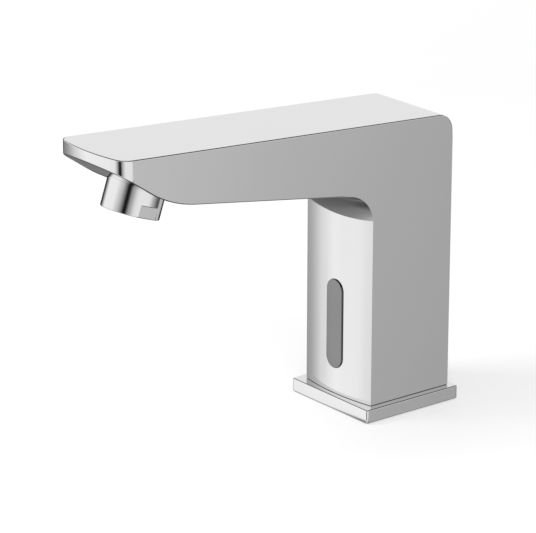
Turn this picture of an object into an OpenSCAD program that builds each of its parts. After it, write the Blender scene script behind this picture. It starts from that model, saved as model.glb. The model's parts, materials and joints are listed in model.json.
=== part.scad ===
// Sensor tap for a basin: a chromed column on a square base plate, with a long tapered spout,
// an infrared window in the front of the column and an aerator under the nose.
// +Z is up, the spout points along -Y, and the origin is the centre of the base plate's underside.

/* [Column] */
// Width of the column and of the spout, left to right
col_w = 43; // [42.6:0.1:44]
// Distance from the centre to the column's front face, at its side edges
col_front = 20.1; // [19.8:0.1:20.5]
// Distance from the centre to the column's back face
col_back = 22.4; // [22.2:0.1:22.9]
// Radius of the bow of the column's front face, seen from above
front_bow_r = 105; // [90:5:130]
// Height of the top face above the underside of the base plate, on the centre line
top_h = 127.1; // [125:0.5:132]
// Radius between the top face and the back face
back_top_r = 7.5; // [5:0.5:9]

/* [Spout] */
// Distance from the centre to the tip of the nose
spout_reach = 148.1; // [147:0.5:156]
// Rise of the top face towards the nose, in degrees
top_rise = 3.25; // [2.75:0.25:4]
// Rise of the underside towards the nose, in degrees
under_rise = 8.46; // [8.2:0.05:8.7]
// Depth of the spout from the top face to the underside, both carried back to the centre line
spout_d = 32.02; // [31:0.2:33]
// Height of the nose's flat front at its middle
nose_h = 4.65; // [4:0.1:6]
// Slope of the chin behind the nose, in degrees
chin_rise = 34.5; // [33.5:0.5:36]
// Radius that blends the chin into the underside
chin_blend_r = 52; // [40:1:56]
// Radius of the bow of the nose, seen from above
nose_bow_r = 78; // [70:1:95]
// Radius of the corners of the nose, seen from above
nose_corner_r = 5.5; // [4:0.5:7]
// Radius between the column's front face and the underside
root_r = 14.5; // [12:0.5:16]
// How much lower the underside is in its middle than at its edges, beside the column
under_crown = 1.7; // [0.8:0.1:2.2]

/* [Walls and fits] */
// Thickness of the casting's sides, back, top and spout floor
wall = 3; // [2.8:0.1:3.1]
// Thickness of the casting's front wall at the middle of the bow
front_wall = 3.7; // [3.4:0.1:3.8]
// Room between a part and the wall that it is slid past
slide_gap = 0.3; // [0.25:0.05:0.35]
// Room round a part that is held in a fitted opening
fit_gap = 0.1; // [0.08:0.01:0.12]
// Room round a part that turns or slides in its bore
run_gap = 0.05; // [0.03:0.01:0.08]
// Room round a screw in its thread
thread_gap = 0.04; // [0.02:0.01:0.08]

/* [Base plate] */
// Side of the square base plate
plate_w = 50; // [49.5:0.5:56]
// Thickness of the base plate
plate_t = 5.8; // [5.6:0.1:6.4]
// Radius of the plate's upright edges
plate_edge_r = 0.8; // [0.5:0.1:1.5]
// Thickness of the gasket under the column's foot
foot_gasket_t = 0.2; // [0.15:0.05:0.5]
// Radius of the opening in the plate for the manifold's spigot
plate_hole_r = 14.5; // [14.3:0.1:15]
// Depth of the seal in the plate's underside
deck_seal_t = 1.6; // [1.2:0.1:2]
// Width of that seal
deck_seal_w = 0.9; // [0.8:0.1:1.5]

/* [Sensor window] */
// Width of the sensor window
window_w = 10; // [9.4:0.1:11.2]
// Height of the sensor window
window_h = 39.4; // [38:0.2:40.4]
// Height of the window's centre
window_z = 37; // [36.8:0.1:37.6]
// How far the window stands out of the column's front face
window_proud = 0.6; // [0.4:0.1:1.2]
// Width of the window's hidden flange
lens_flange = 2; // [1.8:0.1:2.2]
// Thickness of the window's flange
lens_flange_t = 1.5; // [1.3:0.1:1.6]
// Thickness of the gasket behind the front wall
lens_gasket_t = 1; // [0.8:0.1:1.1]

/* [Sensor unit] */
// Width of the sensor housing
housing_w = 19.6; // [19.4:0.1:19.8]
// Wall of the sensor housing
housing_wall = 1.5; // [1.3:0.1:1.6]
// Depth of the sensor housing, front to back
housing_d = 7.3; // [7.2:0.1:7.5]
// Thickness of the sensor's back cover
cover_t = 1.4; // [1.2:0.1:1.5]
// Thickness of the circuit board
board_t = 1.6; // [1.4:0.1:1.7]
// Distance between the centres of the infrared emitter and receiver
ir_pitch = 20; // [18:0.5:22]
// Radius of the infrared emitter's and receiver's bodies
ir_r = 2.5; // [2:0.1:2.6]

/* [Manifold] */
// Height of the manifold's underside above the plate's underside, 0 where they are flush
spigot_z = 0; // [0:0.1:0.5]
// Thickness of the manifold's flange
flange_t = 4.2; // [4.1:0.1:4.6]
// Height of the manifold's neck, above its flange
neck_h = 8; // [7.9:0.1:8.4]
// Radius of the manifold's neck
neck_r = 9.2; // [8.8:0.1:9.4]
// Height of the valve block, above the neck
block_h = 14; // [13.9:0.1:14.2]
// Half the side of the square valve block
block_half = 12.7; // [12.6:0.05:12.8]
// Radius of the inlet's M10 thread, at its core
inlet_r = 4.5; // [4.4:0.1:4.6]
// Depth of the inlet's thread
inlet_depth = 7.5; // [7.3:0.1:7.6]
// Radius of an M6 stud's thread, at its core
stud_r = 2.5; // [2.3:0.1:2.6]
// Depth of the stud holes
stud_depth = 8; // [7:0.1:8.4]
// Sideways distance of each stud from the centre
stud_x = 6.5; // [6.2:0.1:6.8]
// Front to back distance of each stud from the centre
stud_y = 8.5; // [8.2:0.1:8.7]

/* [Main valve] */
// Radius of the chamber under the diaphragm
chamber_r = 9.4; // [9.3:0.05:9.6]
// Depth of the chamber under the diaphragm
chamber_d = 8; // [7.8:0.1:8.1]
// Radius of the bore through the valve seat
seat_bore_r = 3; // [2.8:0.1:3.1]
// Wall of the valve seat
seat_wall = 1.2; // [1.1:0.1:1.3]
// Distance of the seat below the block's top face
seat_drop = 1.4; // [1.2:0.1:1.6]
// Thickness of the diaphragm's clamped rim
rim_t = 1.2; // [1:0.1:1.4]
// Lift of the diaphragm when the valve is open
diaphragm_lift = 1.4; // [1.2:0.1:1.5]

/* [Solenoid] */
// Radius of the armature
armature_r = 4.2; // [4.1:0.05:4.3]
// Length of the armature
armature_l = 14.6; // [14:0.1:15]
// Travel of the armature
armature_stroke = 1.8; // [1.7:0.1:2]
// Wall of the armature's guide tube
core_wall = 0.5; // [0.4:0.05:0.6]
// Height of the coil bobbin
bobbin_h = 14; // [13.6:0.1:14.4]
// Outer radius of the coil's steel can
can_r = 11.3; // [11.1:0.1:11.5]
// Thickness of the coil's can and end plate
can_t = 1.2; // [1:0.1:1.3]

/* [Non-return valve] */
// Outer radius of the non-return cartridge
check_r = 3.8; // [3.7:0.1:3.9]
// Length of the non-return cartridge
check_l = 8.8; // [8.6:0.1:8.9]
// Lift of the non-return valve's poppet
check_lift = 1.5; // [1.2:0.1:1.6]

/* [Outlet tube] */
// Outer radius of the outlet tube
tube_r = 3; // [2.9:0.05:3.1]
// Wall of the outlet tube
tube_wall = 0.8; // [0.7:0.1:1]
// Radius of the tube's bend, on its centre line
tube_bend_r = 16; // [14:0.5:18]
// Rise of the tube along the spout, in degrees
tube_rise = 5.8; // [5.6:0.1:6]
// Step in the wall where each straight is brazed into the tube's elbow
elbow_step = 0.1; // [0.08:0.01:0.12]
// Outer radius of the socket that holds the tube's lower end
socket_r = 4.9; // [4.8:0.1:5]

/* [Battery] */
// Radius of a 17 mm lithium cell
cell_r = 8.5; // [8.4:0.05:8.6]
// Depth of the lithium cells' upper ends below the top face
cell_d = 27.8; // [27.3:0.1:28.3]
// Wall of the battery holder
holder_wall = 1.3; // [1.2:0.1:1.4]

/* [Aerator] */
// Radius of the aerator's shell
aerator_r = 12.08; // [11.8:0.01:12.4]
// Lean of the aerator's axis, in degrees
aerator_lean = 19.08; // [18:0.1:20]
// Distance of the outlet's axis in from the spout's end
outlet_inset = 20.78; // [20:0.1:21.6]
// Depth of the outlet's centre below the top face
outlet_d = 28.06; // [27.5:0.1:28.5]
// Length of the aerator's shell
shell_l = 14.6; // [14.5:0.1:14.8]
// Wall of the aerator's shell
shell_wall = 1.5; // [1.4:0.1:1.6]
// Distance across the key flats
key_flats = 22.6; // [22.3:0.1:23]
// Height of the key flats
key_h = 4.9; // [4:0.1:5.5]
// Thickness of the aerator's washer
washer_t = 1.5; // [1.3:0.1:1.7]

/* [Screws] */
// Radius of the M4 screws that hold the body
m4_r = 2; // [1.9:0.05:2.1]
// Length of the M4 screws
m4_l = 16; // [14:0.5:16.5]
// Radius of the small M3 screws
m3_r = 1.5; // [1.4:0.05:1.55]
// Radius of the head of an M3 screw
m3_head_r = 2.6; // [2.5:0.05:2.7]
// Height of the head of an M3 screw
m3_head_h = 1.6; // [1.4:0.1:1.6]

/* [Hidden] */
$fn = 96;
// Overrun of a cut past the face that it opens
cut = 0.5;

// Column and spout outline
half_w = col_w / 2;
front_bow_y = sqrt(front_bow_r * front_bow_r - half_w * half_w) - col_front;
front_mid = front_bow_r - front_bow_y;
nose_bow_y = nose_bow_r - spout_reach;
nose_block = 23;
foot_z = plate_t + foot_gasket_t;
foot_inset = 0.3;

// Height of the top face and of the underside at a distance out along the spout
under_h = top_h - spout_d;
function top_at(out) = top_h + out * tan(top_rise);
function under_at(out) = under_h + out * tan(under_rise);
nose_z = top_at(spout_reach) - nose_h;
// Where the chin's straight line meets the underside's
chin_out = (nose_z - spout_reach * tan(chin_rise) - under_h) / (tan(under_rise) - tan(chin_rise));
outlet_y = spout_reach - outlet_inset;
outlet_z = top_at(outlet_y) - outlet_d;
// Centre of the round between column and underside, in the middle plane
root_out = front_mid + root_r;
// The underside's crown: a shallow cylinder, steeper than the flat, that fades into it where the hollow ends
crown_rise = atan(tan(under_rise) + under_crown / (spout_reach - outlet_inset - nose_block - root_out));
crown_depth = under_crown * cos(crown_rise);
crown_r = (half_w * half_w + crown_depth * crown_depth) / (2 * crown_depth);
root_z = under_at(root_out) - under_crown - root_r / cos(crown_rise);
// The round's centre line at the column's side: how far out, back and up it lies from its middle
root_plan_r = front_bow_r + root_r;
root_side_x = half_w * root_plan_r / front_bow_r;
root_side_back = root_plan_r - sqrt(root_plan_r * root_plan_r - root_side_x * root_side_x);
root_crown_r = crown_r + root_r;
root_side_sag = root_crown_r - sqrt(root_crown_r * root_crown_r - root_side_x * root_side_x);
root_side_up = (root_side_sag - root_side_back * sin(crown_rise)) / cos(crown_rise);
// The centre line is an arc in a leaning plane through those three points
root_lean = atan(root_side_up / root_side_back);
root_side_in = norm([root_side_back, root_side_up]);
root_sweep_r = (root_side_x * root_side_x + root_side_in * root_side_in) / (2 * root_side_in);
root_sweep_angle = 34;
// How far the round bites into the faces it blends, so that they cross cleanly
root_bite = 0.03;

// Hollow inside the column and spout
cav_x = half_w - wall;
cav_front = front_wall - front_mid;
cav_back = col_back - wall;
hollow_end = outlet_y - nose_block;

// Base: the screws that come up through the plate and the flange into the casting's bosses
boss_r = 3.9;
boss_x = cav_x - boss_r;
boss_places = [for (x = [-boss_x, boss_x], y = [cav_front + boss_r, cav_back - boss_r]) [x, y]];
flange_z = plate_t + flange_t;
neck_z = flange_z + neck_h;
boss_top_z = neck_z - slide_gap;
m4_head_r = 3.8;
m4_head_h = 2.2;
m4_head_z = 0.4;
drive_r = 1.1;
drive_d = 1;
// How far out the screw heads reach, and the deck seal's inner and outer edge
screw_reach = cav_back - boss_r + m4_head_r + fit_gap;
seal_in = screw_reach + slide_gap;
seal_out = seal_in + deck_seal_w;

// Valve axis, inlet axis, battery cells and tube axis, seen from above
valve_side_gap = 0.8;
valve_x = valve_side_gap + block_half - cav_x;
valve_y = cav_back - slide_gap - block_half;
seat_outer_r = seat_bore_r + seat_wall;
inlet_port_r = 2;
inlet_x = valve_x;
inlet_y = valve_y - (seat_outer_r + chamber_r) / 2 - slide_gap;
neck_y = (valve_y + inlet_y) / 2;
cell_gap = 0.8;
cell_x = cell_r + cell_gap / 2;
cell_y = cav_back - slide_gap - holder_wall - cell_r;
part_gap = 0.6;
tube_x = cav_x - slide_gap - socket_r;
tube_y = cell_y - cell_r - part_gap - tube_r;
tube_in_r = tube_r - tube_wall;

// Heights in the valve block
block_z = neck_z + block_h;
chamber_z = block_z - chamber_d;
seat_z = block_z - seat_drop;
channel_r = 2;
channel_floor = 1;
sump_d = 0.2;
sump_z = neck_z + channel_floor;
channel_z = sump_z + sump_d + channel_r;
channel_angle = atan2(tube_y - valve_y, tube_x - valve_x);
channel_l = norm([tube_x - valve_x, tube_y - valve_y]);
bridge_half = 3.3;
block_corner_r = 2.2;
valve_screw_off = block_half - m3_head_r;
valve_screw_l = 14;
tube_socket_d = 5;
low_socket_d = 8;
low_socket_z = block_z - low_socket_d;
low_ring_z = block_z - low_socket_d / 2;

// Non-return valve and inlet filter, under the valve block
filter_t = 1.2;
filter_z = spigot_z + inlet_depth;
check_z = filter_z + filter_t + fit_gap;
check_wall = 0.75;
check_in_r = check_r - check_wall;
check_end_t = 1.2;
check_hole_r = 1.9;
poppet_r = 2.6;
poppet_t = 1;
poppet_stem_r = 0.9;
spider_z = check_z + check_l - check_end_t;
spider_ring_r = 2.1;
spider_hole_r = 0.6;
spider_holes = 6;
spring_wire_r = 0.25;
check_spring_r = 1.75;
check_spring_turns = 4;
filter_hole_r = 0.4;
filter_ring_step = 1.1;
filter_rings = 3;

// Diaphragm and its plate
rim_edge = 0.4;
rim_r = block_half - rim_edge;
bonnet_z = block_z + rim_t;
web_r = 6;
web_t = 0.7;
disc_r = 5.4;
disc_t = 1.2;
pilot_seat_r = 1.5;
pilot_seat_h = 0.8;
pilot_bore_r = 0.5;
pilot_z = bonnet_z + disc_t + pilot_seat_h;

// Bonnet and the armature's guide tube
core_flange_t = 1;
core_flange_z = pilot_z + armature_stroke;
bonnet_roof = 2.2;
bonnet_top_z = core_flange_z + core_flange_t + bonnet_roof;
core_in_r = armature_r + run_gap;
core_out_r = core_in_r + core_wall;
ring_r = 0.6;
core_ring_r = 6.5;

// Armature, its seal and its spring
pilot_seal_r = 1.8;
pilot_seal_t = 2;
pilot_seal_proud = 0.6;
armature_z = pilot_z + pilot_seal_proud;
armature_top_z = armature_z + armature_l;
core_face_z = armature_top_z + armature_stroke;
spring_recess_r = 2.7;
spring_recess_d = 7.2;
armature_spring_r = 2.1;
armature_spring_turns = 7;

// Coil
bobbin_z = bonnet_top_z + can_t;
bobbin_r = can_r - can_t - fit_gap;
bobbin_flange_t = 1.2;
bobbin_in_r = core_out_r + fit_gap;
bobbin_hub_r = bobbin_in_r + 3 * ring_r / 2;
magnet_z = bobbin_z + bobbin_h + fit_gap;
magnet_t = 2.2;
magnet_r = bobbin_r - part_gap;
can_roof_z = magnet_z + magnet_t + fit_gap;
can_top_z = can_roof_z + can_t;
clip_t = 1.2;
clip_r = 7.2;
core_top_z = can_top_z + clip_t + fit_gap;
core_cap_t = 0.8;

// Battery holder and its contacts
holder_z = core_top_z + core_cap_t + part_gap;
spring_room = 1.8;
cell_z = holder_z + holder_wall + spring_room;
nub_r = 3.2;
nub_h = 1;
strip_t = 0.4;
strip_half_y = 3;
cell_top_z = top_h - cell_d;
holder_roof_z = cell_top_z + strip_t + fit_gap;
holder_top_z = holder_roof_z + holder_wall;
holder_half_x = cell_x + cell_r + cut;
cradle_y = cell_y + 2 * cell_r / 3;
shelf_d = 6;
lug_r = 2.8;
lug_l = 5.4;
tab_t = 1.6;
tab_half_x = 10;
tab_screw_x = 6;
tab_screw_z = holder_top_z + lug_r + part_gap;
tab_back = cav_back - lug_l;
battery_screw_l = 6;
battery_spring_r = 3;
battery_spring_wire = 0.35;
battery_spring_turns = 1.5;

// Outlet tube: its end under the aerator's seat, its heading across the spout and its bend
seat_h = shell_l + washer_t + run_gap;
nozzle_room_r = 9.2;
nozzle_room_h = 2.4;
tube_end_h = seat_h + nozzle_room_h / 2;
tube_end_out = outlet_y - tube_end_h * sin(aerator_lean);
tube_end_z = outlet_z + tube_end_h * cos(aerator_lean);
tube_heading = atan(tube_x / (tube_end_out + tube_y));
tube_run = norm([tube_x, tube_end_out + tube_y]);
tube_turn = 90 - tube_rise;
bend_reach = tube_bend_r * tan(tube_turn / 2);
tube_corner_z = tube_end_z - tube_run * tan(tube_rise);
hollow_run = (hollow_end + tube_y) / cos(tube_heading);
tube_tip_run = hollow_run + tube_socket_d;
far_ring_run = hollow_run + tube_socket_d / 2;
ring_groove_r = tube_r + 2 * ring_r;
ring_groove_h = 2 * ring_r + fit_gap;

// Sensor unit, front to back
gasket_y = cav_front + lens_gasket_t;
lens_back = gasket_y + lens_flange_t;
housing_back = lens_back + housing_d;
cover_back = housing_back + cover_t;
housing_half = housing_w / 2;
housing_half_z = window_h / 2 + lens_flange + housing_wall;
housing_in_x = housing_half - housing_wall;
housing_in_z = housing_half_z - housing_wall;
housing_corner_r = 1.2;
lip_t = 1.2;
lip_edge = 0.6;
post_h = 1.5;
post_r = 0.9;
board_front = lens_back + lip_t + post_h;
board_back = board_front + board_t;
board_edge = 0.2;
post_x = housing_in_x - post_r - board_edge;
post_z = housing_in_z - post_r - board_edge;
ear_standoff = 1.9;
ear_t = 1.8;
ear_front = lens_back + lip_t + ear_standoff;
ear_back = ear_front + ear_t;
ear_half_z = 3.2;
ear_x = housing_half + m3_head_r + valve_side_gap;
ear_end = ear_x + m3_head_r + slide_gap;
ear_height_share = 0.33;
ear_places = [for (x = [-ear_x, ear_x], s = [-ear_height_share, ear_height_share])
    [x, window_z + s * window_h]];
sensor_screw_l = 6.4;
ir_flange_r = ir_r + housing_wall / 4;
ir_flange_t = 0.6;
ir_body_h = 1.8;
ir_dome_h = 0.75;
led_r = 1.2;
led_h = 1.6;
baffle_half = 4;
baffle_wall = 1;
chip_w = 7;
chip_t = 1.2;
connector_w = 9;
connector_h = 5;
connector_d = 2.4;
connector_z = window_z + 3 * ir_pitch / 4;
slot_w = 7;
slot_h = 2.4;

// Aerator, along its own axis from the outlet
lip_h = 1.2;
lip_in = 1.2;
shell_in_r = aerator_r - shell_wall;
insert_r = shell_in_r - run_gap;
grid_t = 2.8;
grid_rim = 1.3;
grid_pitch = 2.4;
grid_hole = 1.7;
screen_t = 0.4;
screen_count = 2;
screen_pitch = 0.8;
mesh_ring_step = 2.3;
mesh_rings = 3;
mesh_hole_r = 0.7;
jet_r = 0.5;
mixer_floor_t = 1.6;
mixer_wall = 1.8;
mixer_h = 5;
regulator_r = 7.6;
regulator_t = 2.2;
strainer_t = 1.2;
grid_h = lip_h + run_gap;
screen_h = grid_h + grid_t + fit_gap;
mixer_base_h = screen_h + screen_count * screen_pitch;
regulator_h = mixer_base_h + mixer_h + fit_gap;
strainer_h = regulator_h + regulator_t + fit_gap;
washer_edge = 0.2;
washer_w = 2.6;
aerator_travel = 5;

// Springs and leads: how finely they are drawn
spring_sides = 6;
spring_steps = 12;
lead_sides = 8;
lead_steps = 4;
lead_r = 0.7;
lead_x = 2;
lead_gap = 0.45;
lead_y = cover_back + lead_r + lead_gap;
lead_start_y = board_back + connector_d + fit_gap;
lead_rise = 2 * lead_r;
lead_turn_z = connector_z + 3 * lead_r;

// Points that each lead passes through, from the board's connector
coil_lead_points = [
    [-lead_x, lead_start_y, connector_z],
    [-lead_x, cover_back - lead_r, connector_z],
    [-lead_x, lead_y, lead_turn_z],
    [-lead_x, lead_y, can_top_z - lead_r],
    [-lead_x, lead_y + lead_rise, can_top_z + lead_rise],
    [-lead_x, lead_y + 2 * lead_rise, can_top_z + lead_rise],
    [-lead_x, lead_y + 2.5 * lead_rise, can_top_z + lead_r],
    [-lead_x, lead_y + 2.5 * lead_rise, can_top_z + fit_gap]];
battery_lead_points = [
    [lead_x, lead_start_y, connector_z],
    [lead_x, cover_back - lead_r, connector_z],
    [lead_x, lead_y, lead_turn_z],
    [lead_x, lead_y, can_roof_z],
    [lead_x + lead_r, lead_y + 3 * lead_r, holder_z - lead_r],
    [lead_x + 3 * lead_r, lead_y + 9 * lead_r, holder_z + holder_wall / 2],
    [lead_x + 4 * lead_r, cell_y - shelf_d - 2 * fit_gap, holder_z + holder_wall / 2]];

// Outlines with true arcs
function unit(v) = v / norm(v);
function corner_angle(a, v, b) = acos(unit(a - v) * unit(b - v));
function tangent_point(a, v, b, r) = v + unit(a - v) * r / tan(corner_angle(a, v, b) / 2);
function corner_centre(a, v, b, r) =
    v + unit(unit(a - v) + unit(b - v)) * r / sin(corner_angle(a, v, b) / 2);

// The piece of a circle that lies beyond the chord from p to q
module arc_cap(centre, r, p, q) {
    out = unit((p + q) / 2 - centre) * r;
    intersection() {
        translate(centre) circle(r = r);
        polygon([p, q, q + out, p + out]);
    }
}

// A polygon whose corners are rounded, each with its own radius, or left sharp with 0
module rounded_outline(points, radii) {
    n = len(points);
    polygon([for (i = [0:n - 1])
             let (a = points[(i + n - 1) % n], v = points[i], b = points[(i + 1) % n], r = radii[i])
             for (p = r > 0 ? [tangent_point(a, v, b, r), tangent_point(b, v, a, r)] : [v]) p]);
    for (i = [0:n - 1]) if (radii[i] > 0) {
        a = points[(i + n - 1) % n];
        b = points[(i + 1) % n];
        v = points[i];
        r = radii[i];
        arc_cap(corner_centre(a, v, b, r), r, tangent_point(a, v, b, r), tangent_point(b, v, a, r));
    }
}

module rounded_box(x0, x1, y0, y1, r) {
    rounded_outline([[x0, y0], [x1, y0], [x1, y1], [x0, y1]], [r, r, r, r]);
}

// A plan with straight sides and back, and a front bowed about a centre on the middle line
module bowed_plan(half, back, bow_y, bow_r, corner_r) {
    cx = half - corner_r;
    cy = bow_y - sqrt((bow_r - corner_r) * (bow_r - corner_r) - cx * cx);
    tip = [0, bow_y] + ([cx, cy] - [0, bow_y]) * bow_r / (bow_r - corner_r);
    left = corner_r > 0 ? [[-half, cy], [-tip.x, tip.y]] : [[-half, cy]];
    right = corner_r > 0 ? [[tip.x, tip.y], [half, cy]] : [[half, cy]];
    polygon(concat(left, right, [[half, back], [-half, back]]));
    arc_cap([0, bow_y], bow_r, [-tip.x, tip.y], [tip.x, tip.y]);
    if (corner_r > 0) for (s = [-1, 1]) arc_cap([s * cx, cy], corner_r, [s * half, cy], [s * tip.x, tip.y]);
}

module stadium(w, h) {
    translate([-w / 2, -(h - w) / 2]) square([w, h - w]);
    for (s = [-1, 1]) translate([0, s * (h - w) / 2]) circle(d = w);
}

// Extrusions: a profile in Y and Z drawn along X, and a profile in X and Z drawn from y0 to y1
module along_x(half) {
    translate([-half, 0, 0]) rotate([90, 0, 90]) linear_extrude(2 * half) children();
}

module along_y(y0, y1) {
    translate([0, y1, 0]) rotate([90, 0, 0]) linear_extrude(y1 - y0) children();
}

module rod_y(r, x, z, y0, y1) {
    translate([x, y1, z]) rotate([90, 0, 0]) cylinder(r = r, h = y1 - y0);
}

module block(x0, x1, y0, y1, z0, z1) {
    translate([x0, y0, z0]) cube([x1 - x0, y1 - y0, z1 - z0]);
}

module disc(r, z0, z1) {
    translate([0, 0, z0]) cylinder(r = r, h = z1 - z0);
}

module ring(r_out, r_in, z0, z1) {
    difference() {
        disc(r_out, z0, z1);
        disc(r_in, z0 - cut, z1 + cut);
    }
}

// Rings of round holes about the axis, step by step outwards, with a hole in the middle
module hole_rings(rings, step, r, z0, z1) {
    disc(r, z0, z1);
    for (i = [1:rings], k = [0:6 * i - 1]) rotate([0, 0, 60 * k / i])
        translate([i * step, 0, 0]) disc(r, z0, z1);
}

// A round wire swept along points, its rings set square to the path
function ring_at(p, t, r, ref, sides) =
    let (b = unit(cross(t, ref)), n = cross(b, t))
    [for (k = [0:sides - 1]) p + r * (cos(360 * k / sides) * b + sin(360 * k / sides) * n)];
function heading_at(path, i) = unit(path[min(i + 1, len(path) - 1)] - path[max(i - 1, 0)]);

module wire(path, r, ref, sides) {
    n = len(path);
    points = [for (i = [0:n - 1]) each ring_at(path[i], heading_at(path, i), r, ref, sides)];
    walls = [for (i = [0:n - 2], k = [0:sides - 1])
        let (a = i * sides + k, b = i * sides + (k + 1) % sides)
        each [[a, b, a + sides], [b, b + sides, a + sides]]];
    start = [for (k = [1:sides - 2]) [0, k + 1, k]];
    last = (n - 1) * sides;
    end = [for (k = [1:sides - 2]) [last, last + k, last + k + 1]];
    polyhedron(points = points, faces = concat(walls, start, end));
}

module helix(r, wire_r, z0, z1, turns) {
    steps = round(turns * spring_steps);
    low = z0 + wire_r + run_gap;
    rise = z1 - z0 - 2 * (wire_r + run_gap);
    path = [for (i = [0:steps])
        let (a = 360 * turns * i / steps) [r * cos(a), r * sin(a), low + rise * i / steps]];
    wire(path, wire_r, [0, 0, 1], spring_sides);
}

// A smooth curve through all the points
function between(a, b, c, d, t) =
    ((2 * b) + (c - a) * t + (2 * a - 5 * b + 4 * c - d) * t * t + (3 * b - a - 3 * c + d) * t * t * t) / 2;
function curve(p, steps) = concat(
    [for (i = [0:len(p) - 2], k = [0:steps - 1])
        between(p[max(i - 1, 0)], p[i], p[i + 1], p[min(i + 2, len(p) - 1)], k / steps)],
    [p[len(p) - 1]]);

// Places: the valve's axis, the inlet's axis, the tube's heading and the aerator's axis
module at_valve() { translate([valve_x, valve_y, 0]) children(); }
module at_inlet() { translate([inlet_x, inlet_y, 0]) children(); }
module at_tube() { translate([tube_x, tube_y, 0]) rotate([0, 0, -tube_heading]) children(); }
module at_outlet() { translate([0, -outlet_y, outlet_z]) rotate([-aerator_lean, 0, 0]) children(); }
module at_valve_screws() {
    at_valve() for (x = [-1, 1], y = [-1, 1])
        translate([x * valve_screw_off, y * valve_screw_off, 0]) children();
}

// The tube's sloping straight, between two distances along its run
module tube_straight(r, run0, run1) {
    at_tube() translate([0, -run0, tube_corner_z + run0 * tan(tube_rise)])
        rotate([tube_turn, 0, 0]) cylinder(r = r, h = (run1 - run0) / cos(tube_rise));
}

// The body casting
module spout_profile() {
    far = spout_reach + cut;
    rounded_outline(
        [[col_back, top_at(-col_back)], [-far, top_at(far)], [-far, nose_z + cut * tan(chin_rise)],
         [-chin_out, under_at(chin_out)], [col_back, under_at(-col_back)]],
        [back_top_r, 0, 0, chin_blend_r, 0]);
}

module hollow_profile() {
    roof = wall / cos(top_rise);
    floor = wall / cos(under_rise);
    rounded_outline(
        [[cav_back, foot_z - cut], [cav_back, top_at(-cav_back) - roof],
         [-hollow_end, top_at(hollow_end) - roof],
         [-hollow_end, under_at(hollow_end) + floor], [cav_front, under_at(-cav_front) + floor],
         [cav_front, foot_z - cut]],
        [0, back_top_r - wall, 0, 0, 0, 0]);
}

module spout_outer() {
    intersection() {
        along_x(half_w + cut) spout_profile();
        linear_extrude(2 * top_h) bowed_plan(half_w, col_back, nose_bow_y, nose_bow_r, nose_corner_r);
    }
}

module column_outer() {
    column_top_z = under_at(front_mid) + 2 * wall;
    translate([0, 0, foot_z]) linear_extrude(column_top_z - foot_z)
        bowed_plan(half_w, col_back, front_bow_y, front_bow_r, 0);
}

// The crown of the underside: the part of a big leaning cylinder that stands below the flat
module underside_crown() {
    high = wall / 2;
    low = under_crown + wall;
    end = hollow_end + wall;
    intersection() {
        along_x(half_w) polygon([[0, under_at(0) + high], [-end, under_at(end) + high],
                                 [-end, under_at(end) - low], [0, under_at(0) - low]]);
        translate([0, -root_out, under_at(root_out) - under_crown]) rotate([90 - crown_rise, 0, 0])
            translate([0, crown_r, -root_out - wall]) cylinder(r = crown_r, h = end + 2 * wall);
    }
}

// The round between the bowed front and the crowned underside, as part of a ring about a leaning axis
module root_round() {
    reach = root_r + wall;
    to_front = [-cos(root_lean), -sin(root_lean)];
    to_underside = [-sin(crown_rise + root_lean), cos(crown_rise + root_lean)];
    intersection() {
        translate([0, root_bite - root_out, root_z + root_bite]) rotate([root_lean, 0, 0])
            translate([0, root_sweep_r, 0])
            rotate([0, 0, -90 - root_sweep_angle / 2]) rotate_extrude(angle = root_sweep_angle)
            translate([root_sweep_r, 0]) difference() {
                polygon([[0, 0], reach * to_front, reach * (to_front + to_underside), reach * to_underside]);
                circle(r = root_r);
            }
        block(-half_w, half_w, -root_out - root_r, 0, foot_z, top_h);
    }
}

module bosses() {
    for (p = boss_places) translate([p.x, p.y, flange_z]) {
        cylinder(r = boss_r, h = boss_top_z - flange_z);
        sx = sign(p.x);
        sy = sign(p.y);
        block(min(0, sx * (boss_r + cut)), max(0, sx * (boss_r + cut)),
              min(0, sy * (boss_r + cut)), max(0, sy * (boss_r + cut)), 0, boss_top_z - flange_z);
    }
    for (p = ear_places) rod_y(m3_head_r, p.x, p[1], cav_front - cut, ear_front);
    for (x = [-tab_screw_x, tab_screw_x]) rod_y(lug_r, x, tab_screw_z, tab_back, cav_back + cut);
}

module body_shell() {
    color([0.83, 0.84, 0.85]) difference() {
        union() {
            difference() {
                union() {
                    spout_outer();
                    column_outer();
                    underside_crown();
                    root_round();
                }
                along_x(cav_x) hollow_profile();
            }
            bosses();
        }
        for (p = boss_places) translate([p.x, p.y, 0])
            disc(m4_r + thread_gap, foot_z, boss_top_z - slide_gap);
        for (p = ear_places) rod_y(m3_r + thread_gap, p.x, p[1], cav_front, ear_front + cut);
        for (x = [-tab_screw_x, tab_screw_x])
            rod_y(m3_r + thread_gap, x, tab_screw_z, tab_back - cut, cav_back - slide_gap);
        along_y(-front_mid - cut, cav_front + cut) translate([0, window_z])
            stadium(window_w + 2 * fit_gap, window_h + 2 * fit_gap);
        at_outlet() {
            disc(aerator_r + run_gap, -aerator_r, seat_h);
            disc(nozzle_room_r, seat_h - cut, seat_h + nozzle_room_h);
        }
        tube_straight(tube_r + run_gap, hollow_run - 2 * cut, tube_tip_run);
        tube_straight(ring_groove_r, far_ring_run - ring_groove_h / 2, far_ring_run + ring_groove_h / 2);
        tube_straight(tube_in_r, tube_tip_run - cut, tube_run);
    }
}

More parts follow.
